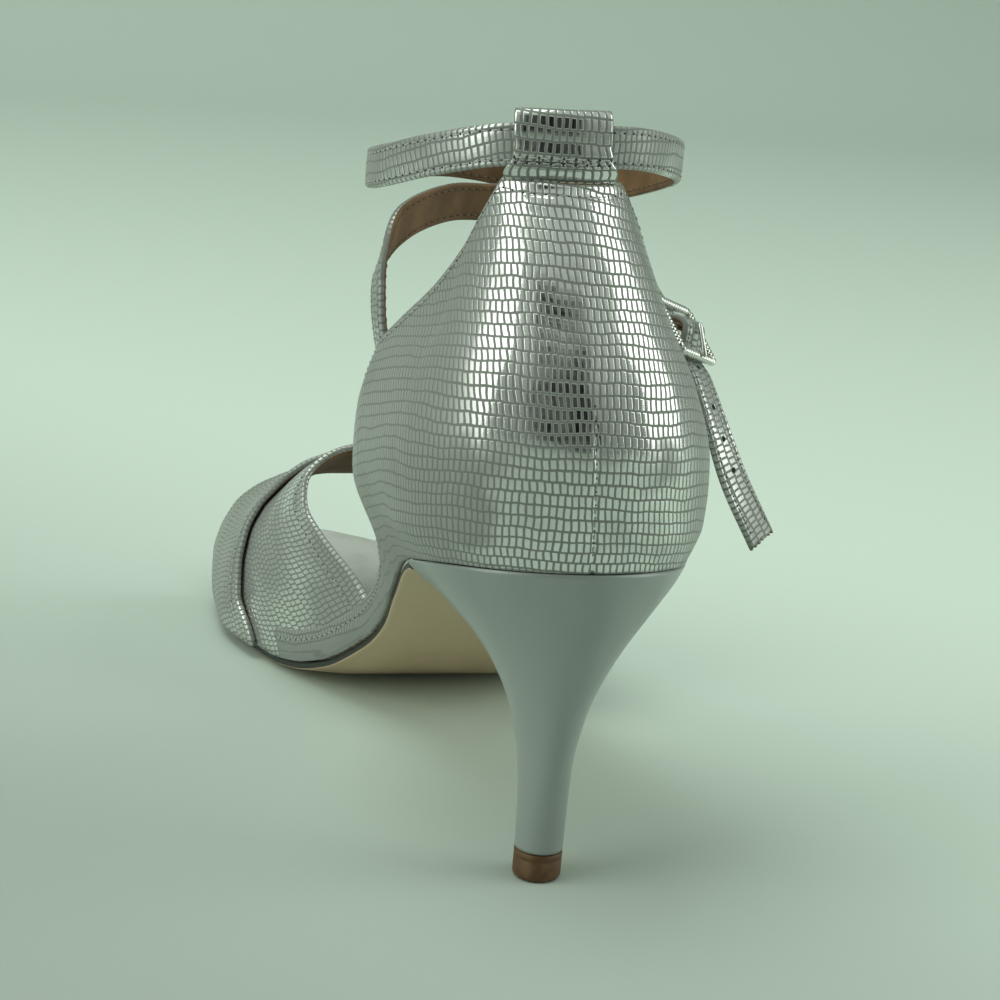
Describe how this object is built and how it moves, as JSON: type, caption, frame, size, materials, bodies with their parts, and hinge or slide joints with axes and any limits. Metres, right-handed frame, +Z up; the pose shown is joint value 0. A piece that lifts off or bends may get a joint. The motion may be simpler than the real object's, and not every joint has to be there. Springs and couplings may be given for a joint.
{
  "type": "high-heeled dance sandal",
  "caption": "Open-toed dance sandal for the right foot, closed heel counter, crossed vamp bands, slim flared heel and ankle strap with buckle.",
  "frame": {"origin": "middle of the top piece's flat lower face, on the floor", "axes": "+Y from heel to toe, +X to the outer side of the right foot, +Z up"},
  "size_m": [0.0966, 0.2252, 0.1535],
  "materials": {
    "sole_leather": "smooth beige sole leather",
    "insole_leather": "pale silver-grey sock leather",
    "silver_leather": "silver foil leather with a lizard print",
    "heel_cover": "smooth pearly silver-grey cover",
    "heel_rubber": "brown hard rubber top piece",
    "buckle_metal": "bright plated metal"
  },
  "bodies": {
    "root": {"outsole": "sole_leather", "insole": "insole_leather", "upper": "silver_leather", "heel": "heel_cover", "heel_tip": "heel_rubber", "back_loop": "silver_leather", "ankle_strap": "silver_leather", "buckle_tab": "silver_leather", "buckle_frame": "buckle_metal", "buckle_bar": "buckle_metal", "buckle_prong": "buckle_metal"}
  },
  "joints": []
}
